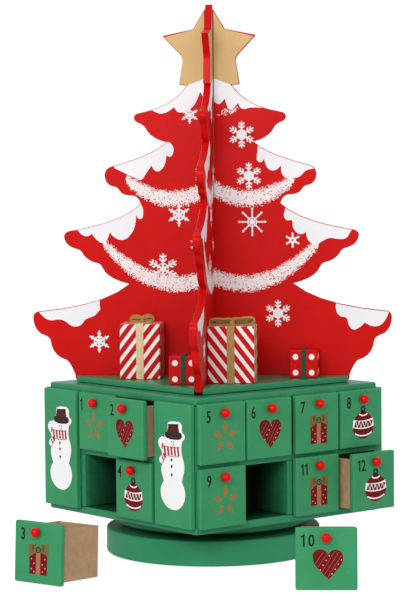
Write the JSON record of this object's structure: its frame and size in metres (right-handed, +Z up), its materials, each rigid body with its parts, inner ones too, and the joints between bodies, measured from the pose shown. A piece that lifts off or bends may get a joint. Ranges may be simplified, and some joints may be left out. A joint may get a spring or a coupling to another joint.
{
  "type": "tree advent calendar",
  "caption": "Square cabinet of small numbered drawers on a round turntable, with a crossed-plate Christmas tree, star top and gift blocks standing on its stepped lid.",
  "frame": {"origin": "centre of the base disc's underside, on the table", "axes": "+Z up; -Y out of the front, the face with drawers 5 to 12; -X out of the left face, with drawers 1 to 4"},
  "size_m": [0.2759, 0.2821, 0.3917],
  "materials": {
    "green_board": "painted fibreboard, satin green",
    "drawer_board": "painted fibreboard front, bare brown tray, gloss red knob",
    "panel_board": "painted fibreboard, printed",
    "red_tree_board": "painted fibreboard, satin red, printed white and gold",
    "red_gift_block": "painted block, satin red",
    "steel": "zinc plated sheet"
  },
  "bodies": {
    "base": {"base_disc": "green_board", "bearing_lower_plate": "steel"},
    "cabinet": {"tree_plate_across": "red_tree_board", "tree_plate_through": "red_tree_board", "gift_large_left": "red_gift_block", "gift_small_left": "red_gift_block", "gift_large_right": "red_gift_block", "gift_small_right": "red_gift_block", "bearing_upper_plate": "steel", "turntable_disc": "green_board", "front_shelf": "green_board", "front_divider_1": "green_board", "front_divider_2": "green_board", "front_divider_3": "green_board", "front_end_wall_left": "green_board", "front_end_wall_right": "green_board", "front_bank_rear_wall": "green_board", "back_shelf": "green_board", "back_divider_1": "green_board", "back_divider_2": "green_board", "back_divider_3": "green_board", "back_end_wall_left": "green_board", "back_end_wall_right": "green_board", "back_bank_rear_wall": "green_board", "left_shelf": "green_board", "right_shelf": "green_board", "centre_divider": "green_board", "cross_wall": "green_board", "cabinet_floor": "green_board", "cabinet_top": "green_board", "step_board": "green_board", "snowman_panel_left_front": "panel_board", "snowman_panel_left_back": "panel_board", "snowman_panel_right_front": "panel_board", "snowman_panel_right_back": "panel_board"},
    "drawer_01": {"drawer_01": "drawer_board"},
    "drawer_02": {"drawer_02": "drawer_board"},
    "drawer_03": {"drawer_03": "drawer_board"},
    "drawer_04": {"drawer_04": "drawer_board"},
    "drawer_05": {"drawer_05": "drawer_board"},
    "drawer_06": {"drawer_06": "drawer_board"},
    "drawer_07": {"drawer_07": "drawer_board"},
    "drawer_08": {"drawer_08": "drawer_board"},
    "drawer_09": {"drawer_09": "drawer_board"},
    "drawer_10": {"drawer_10": "drawer_board"},
    "drawer_11": {"drawer_11": "drawer_board"},
    "drawer_12": {"drawer_12": "drawer_board"},
    "drawer_13": {"drawer_13": "drawer_board"},
    "drawer_14": {"drawer_14": "drawer_board"},
    "drawer_15": {"drawer_15": "drawer_board"},
    "drawer_16": {"drawer_16": "drawer_board"},
    "drawer_17": {"drawer_17": "drawer_board"},
    "drawer_18": {"drawer_18": "drawer_board"},
    "drawer_19": {"drawer_19": "drawer_board"},
    "drawer_20": {"drawer_20": "drawer_board"},
    "drawer_21": {"drawer_21": "drawer_board"},
    "drawer_22": {"drawer_22": "drawer_board"},
    "drawer_23": {"drawer_23": "drawer_board"},
    "drawer_24": {"drawer_24": "drawer_board"}
  },
  "joints": [
    {"name": "turntable", "type": "hinge", "parent": "base", "child": "cabinet", "pos_m": [0, 0, 0.0197], "axis": [0, 0, 1], "continuous": true},
    {"name": "drawer_01_slide", "type": "slide", "parent": "cabinet", "child": "drawer_01", "axis": [-1, 0, 0], "range_m": [0, 0.03]},
    {"name": "drawer_02_slide", "type": "slide", "parent": "cabinet", "child": "drawer_02", "axis": [-1, 0, 0], "range_m": [-0.007, 0.023]},
    {"name": "drawer_03_lift", "type": "slide", "parent": "base", "child": "drawer_03", "axis": [0, 0, 1], "range_m": [0, 0.1]},
    {"name": "drawer_04_slide", "type": "slide", "parent": "cabinet", "child": "drawer_04", "axis": [-1, 0, 0], "range_m": [0, 0.03]},
    {"name": "drawer_05_slide", "type": "slide", "parent": "cabinet", "child": "drawer_05", "axis": [0, -1, 0], "range_m": [0, 0.03]},
    {"name": "drawer_06_slide", "type": "slide", "parent": "cabinet", "child": "drawer_06", "axis": [0, -1, 0], "range_m": [0, 0.03]},
    {"name": "drawer_07_slide", "type": "slide", "parent": "cabinet", "child": "drawer_07", "axis": [0, -1, 0], "range_m": [0, 0.03]},
    {"name": "drawer_08_slide", "type": "slide", "parent": "cabinet", "child": "drawer_08", "axis": [0, -1, 0], "range_m": [0, 0.03]},
    {"name": "drawer_09_slide", "type": "slide", "parent": "cabinet", "child": "drawer_09", "axis": [0, -1, 0], "range_m": [0, 0.03]},
    {"name": "drawer_10_lift", "type": "slide", "parent": "base", "child": "drawer_10", "axis": [0, 0, 1], "range_m": [0, 0.1]},
    {"name": "drawer_11_slide", "type": "slide", "parent": "cabinet", "child": "drawer_11", "axis": [0, -1, 0], "range_m": [0, 0.03]},
    {"name": "drawer_12_slide", "type": "slide", "parent": "cabinet", "child": "drawer_12", "axis": [0, -1, 0], "range_m": [-0.0125, 0.0175]},
    {"name": "drawer_13_slide", "type": "slide", "parent": "cabinet", "child": "drawer_13", "axis": [1, 0, 0], "range_m": [0, 0.03]},
    {"name": "drawer_14_slide", "type": "slide", "parent": "cabinet", "child": "drawer_14", "axis": [1, 0, 0], "range_m": [0, 0.03]},
    {"name": "drawer_15_slide", "type": "slide", "parent": "cabinet", "child": "drawer_15", "axis": [1, 0, 0], "range_m": [0, 0.03]},
    {"name": "drawer_16_slide", "type": "slide", "parent": "cabinet", "child": "drawer_16", "axis": [1, 0, 0], "range_m": [0, 0.03]},
    {"name": "drawer_17_slide", "type": "slide", "parent": "cabinet", "child": "drawer_17", "axis": [0, 1, 0], "range_m": [0, 0.03]},
    {"name": "drawer_18_slide", "type": "slide", "parent": "cabinet", "child": "drawer_18", "axis": [0, 1, 0], "range_m": [0, 0.03]},
    {"name": "drawer_19_slide", "type": "slide", "parent": "cabinet", "child": "drawer_19", "axis": [0, 1, 0], "range_m": [0, 0.03]},
    {"name": "drawer_20_slide", "type": "slide", "parent": "cabinet", "child": "drawer_20", "axis": [0, 1, 0], "range_m": [0, 0.03]},
    {"name": "drawer_21_slide", "type": "slide", "parent": "cabinet", "child": "drawer_21", "axis": [0, 1, 0], "range_m": [0, 0.03]},
    {"name": "drawer_22_slide", "type": "slide", "parent": "cabinet", "child": "drawer_22", "axis": [0, 1, 0], "range_m": [0, 0.03]},
    {"name": "drawer_23_slide", "type": "slide", "parent": "cabinet", "child": "drawer_23", "axis": [0, 1, 0], "range_m": [0, 0.03]},
    {"name": "drawer_24_slide", "type": "slide", "parent": "cabinet", "child": "drawer_24", "axis": [0, 1, 0], "range_m": [0, 0.03]}
  ]
}
